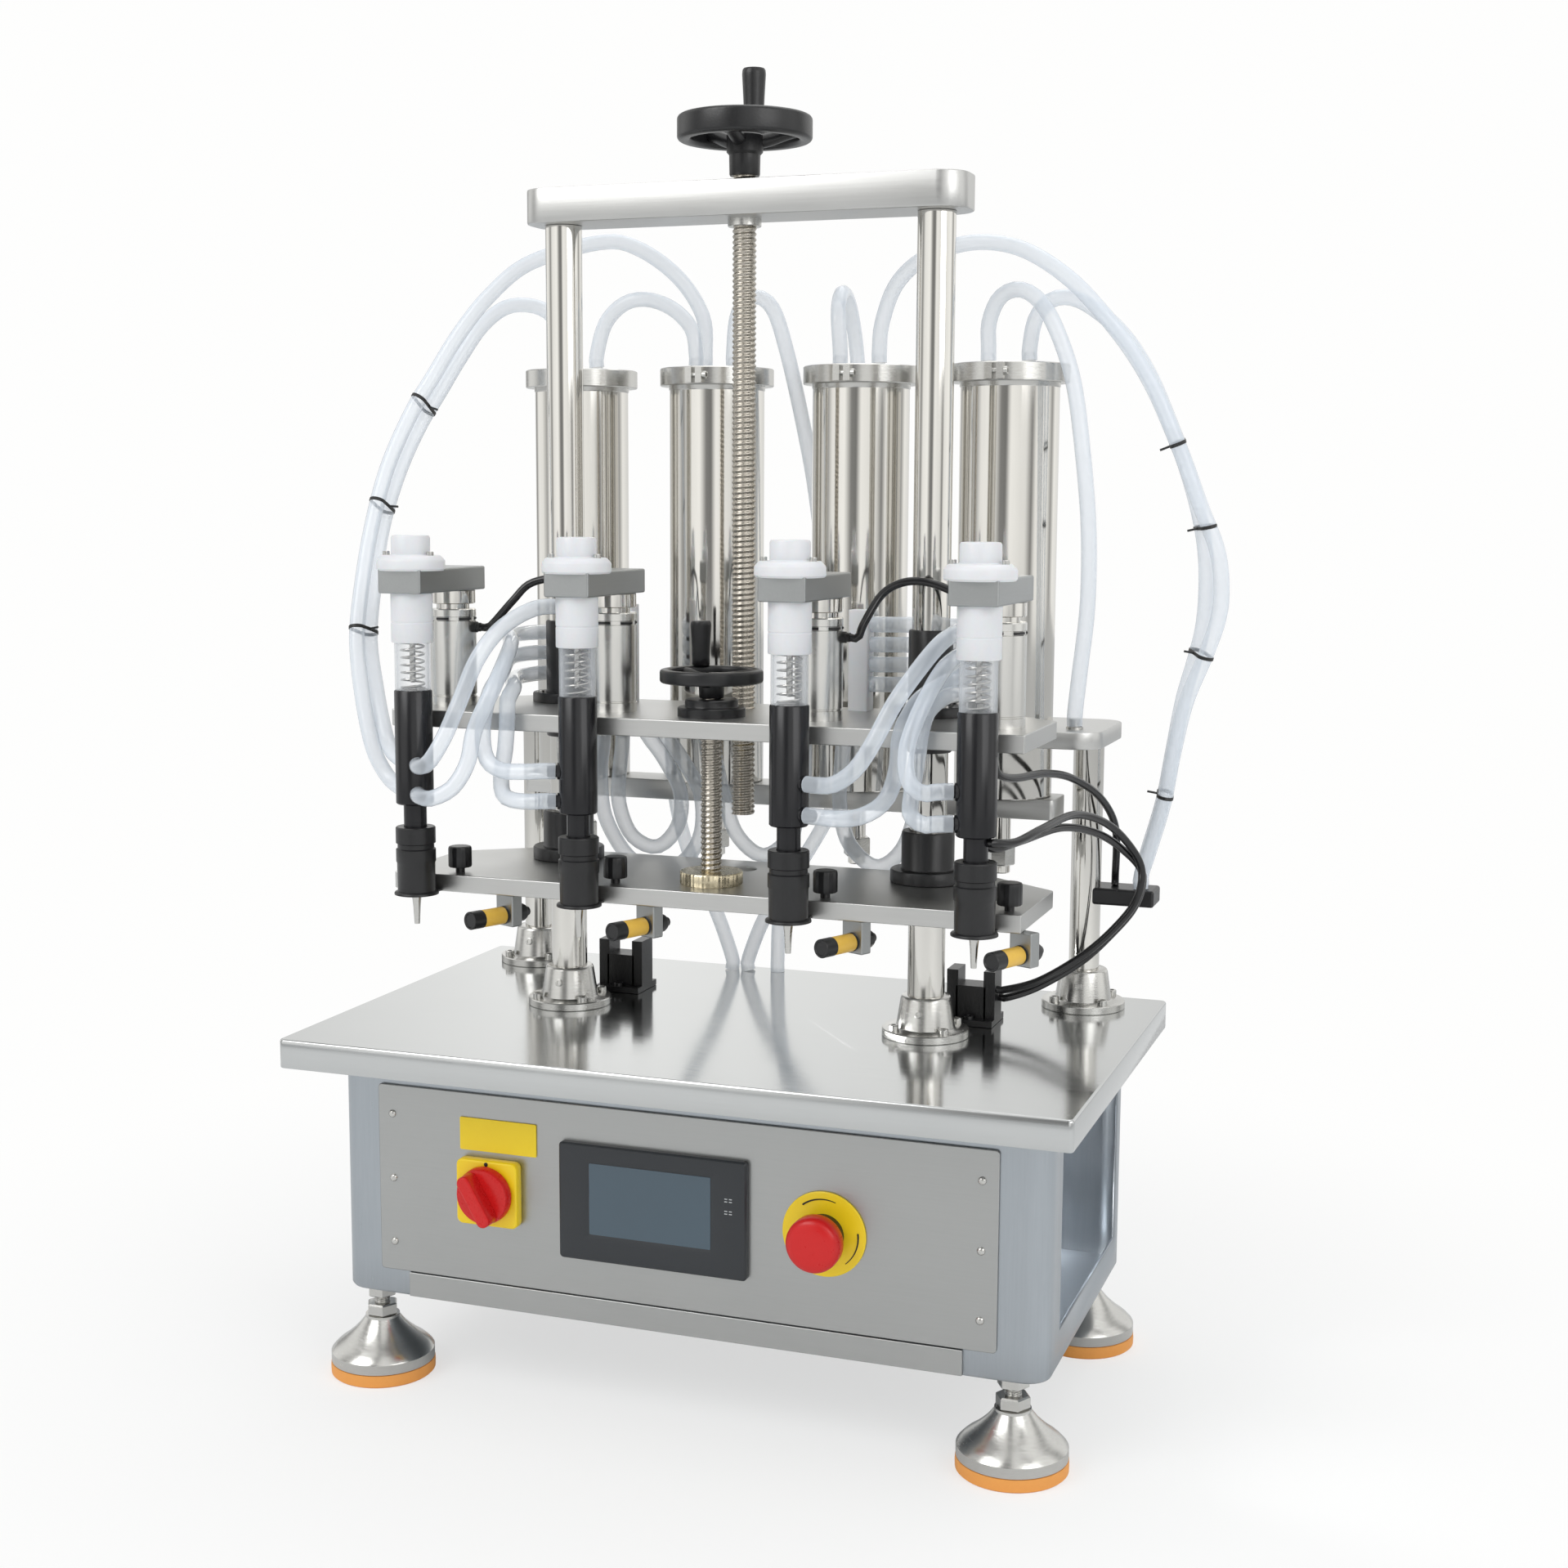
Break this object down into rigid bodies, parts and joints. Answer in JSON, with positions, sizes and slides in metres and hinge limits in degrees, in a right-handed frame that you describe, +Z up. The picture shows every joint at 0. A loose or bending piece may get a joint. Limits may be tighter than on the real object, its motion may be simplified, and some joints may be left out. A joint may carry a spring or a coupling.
{
  "type": "liquid filling machine",
  "caption": "Bench-top piston liquid filler: nozzles on a screw-raised carriage over a stainless table, upright pumps behind, clear hoses, cabinet with touch screen, switch and stop button.",
  "frame": {"origin": "on the floor under the middle of the table", "axes": "+X to the machine's right seen from the front, +Y to the back, +Z up; the control panel faces -Y"},
  "size_m": [0.6472, 0.3635, 0.9933],
  "materials": {
    "stainless": "brushed stainless sheet and turned parts",
    "polished": "polished steel",
    "satin_aluminium": "satin machined plate",
    "brass": "turned brass",
    "black_plastic": "black moulded plastic",
    "white_plastic": "white moulded plastic",
    "yellow_plastic": "yellow moulded plastic",
    "red_plastic": "red moulded plastic",
    "bezel": "dark moulded frame",
    "screen": "dark display window",
    "motor_black": "black painted case",
    "box_grey": "grey painted box",
    "clear_hose": "clear flexible hose"
  },
  "bodies": {
    "base": {"table_top": "stainless", "cabinet_shell": "stainless", "front_panel": "stainless", "foot_front_left": "stainless", "foot_front_right": "stainless", "foot_rear_left": "stainless", "foot_rear_right": "stainless", "front_post_left": "polished", "front_post_right": "polished", "rear_post_left": "polished", "rear_post_right": "polished", "top_bar": "satin_aluminium", "rear_plate": "satin_aluminium", "switch_plate": "yellow_plastic", "hmi_bezel": "bezel", "hmi_screen": "screen", "estop_ring": "yellow_plastic", "pump_1": "polished", "pump_2": "polished", "pump_3": "polished", "pump_4": "polished", "drive_motor": "motor_black", "control_box": "box_grey", "transfer_hose": "clear_hose", "drain_hoses": "clear_hose", "right_hoses": "clear_hose"},
    "switch": {"switch_knob": "red_plastic"},
    "stop_button": {"estop_button": "red_plastic"},
    "crosshead": {"piston_crosshead": "satin_aluminium"},
    "top_spindle": {"top_wheel": "black_plastic", "top_screw": "stainless"},
    "top_handle": {"top_grip": "black_plastic"},
    "carriage": {"carriage_plate": "satin_aluminium", "lift_nut": "brass", "nozzle_1": "black_plastic", "nozzle_2": "black_plastic", "nozzle_3": "black_plastic", "nozzle_4": "black_plastic", "valve_spring_1": "polished", "valve_spring_2": "polished", "valve_spring_3": "polished", "valve_spring_4": "polished", "left_hose_set": "clear_hose", "right_hose_set": "clear_hose", "left_lift_hoses": "clear_hose", "lift_loops": "clear_hose", "lift_tubes": "black_plastic"},
    "valve_1": {"valve_head_1": "white_plastic"},
    "valve_2": {"valve_head_2": "white_plastic"},
    "valve_3": {"valve_head_3": "white_plastic"},
    "valve_4": {"valve_head_4": "white_plastic"},
    "lower": {"lower_plate": "satin_aluminium", "screw_nut": "brass", "bottle_sensor_1": "yellow_plastic", "bottle_sensor_2": "yellow_plastic", "bottle_sensor_3": "yellow_plastic", "bottle_sensor_4": "yellow_plastic"},
    "lower_spindle": {"lower_wheel": "black_plastic", "lower_screw": "stainless"},
    "lower_handle": {"lower_grip": "black_plastic"}
  },
  "joints": [
    {"name": "top_wheel_turn", "type": "hinge", "parent": "base", "child": "top_spindle", "pos_m": [0, 0.004, 0.8774], "axis": [0, 0, 1], "range_deg": [-10810, 4055]},
    {"name": "top_grip_spin", "type": "hinge", "parent": "top_spindle", "child": "top_handle", "pos_m": [-0.00936, 0.04802, 0.951], "axis": [0, 0, 1], "continuous": true},
    {"name": "carriage_lift", "type": "slide", "parent": "base", "child": "carriage", "axis": [0, 0, 1], "range_m": [-0.045, 0.12], "deforming": ["left_lift_hoses", "lift_loops", "lift_tubes"]},
    {"name": "lower_wheel_turn", "type": "hinge", "parent": "carriage", "child": "lower_spindle", "pos_m": [0, -0.062, 0.514], "axis": [0, 0, 1], "range_deg": [-1085, 3245]},
    {"name": "lower_grip_spin", "type": "hinge", "parent": "lower_spindle", "child": "lower_handle", "pos_m": [-0.0195, -0.03415, 0.5485], "axis": [0, 0, 1], "continuous": true},
    {"name": "lower_plate_lift", "type": "slide", "parent": "carriage", "child": "lower", "axis": [0, 0, 1], "range_m": [-0.018, 0.006]},
    {"name": "switch_turn", "type": "hinge", "parent": "base", "child": "switch", "pos_m": [-0.146, -0.1373, 0.16], "axis": [0, 1, 0], "range_deg": [0, 90]},
    {"name": "estop_press", "type": "slide", "parent": "base", "child": "stop_button", "axis": [0, 1, 0], "range_m": [0, 0.0055], "stiffness_N_per_m": 600, "springref_m": -0.004},
    {"name": "piston_stroke", "type": "slide", "parent": "base", "child": "crosshead", "axis": [0, 0, 1], "range_m": [-0.09, 0]},
    {"name": "needle_lift_1", "type": "slide", "parent": "carriage", "child": "valve_1", "axis": [0, 0, 1], "range_m": [0, 0.008], "stiffness_N_per_m": 600, "springref_m": -0.005, "deforming": ["valve_spring_1"]},
    {"name": "needle_lift_2", "type": "slide", "parent": "carriage", "child": "valve_2", "axis": [0, 0, 1], "range_m": [0, 0.008], "stiffness_N_per_m": 600, "springref_m": -0.005, "deforming": ["valve_spring_2"]},
    {"name": "needle_lift_3", "type": "slide", "parent": "carriage", "child": "valve_3", "axis": [0, 0, 1], "range_m": [0, 0.008], "stiffness_N_per_m": 600, "springref_m": -0.005, "deforming": ["valve_spring_3"]},
    {"name": "needle_lift_4", "type": "slide", "parent": "carriage", "child": "valve_4", "axis": [0, 0, 1], "range_m": [0, 0.008], "stiffness_N_per_m": 600, "springref_m": -0.005, "deforming": ["valve_spring_4"]}
  ],
  "couplings": [
    {"joint": "top_wheel_turn", "follows": "carriage_lift", "rad_per_m": -1570.8},
    {"joint": "lower_wheel_turn", "follows": "lower_plate_lift", "rad_per_m": -3141.6}
  ]
}
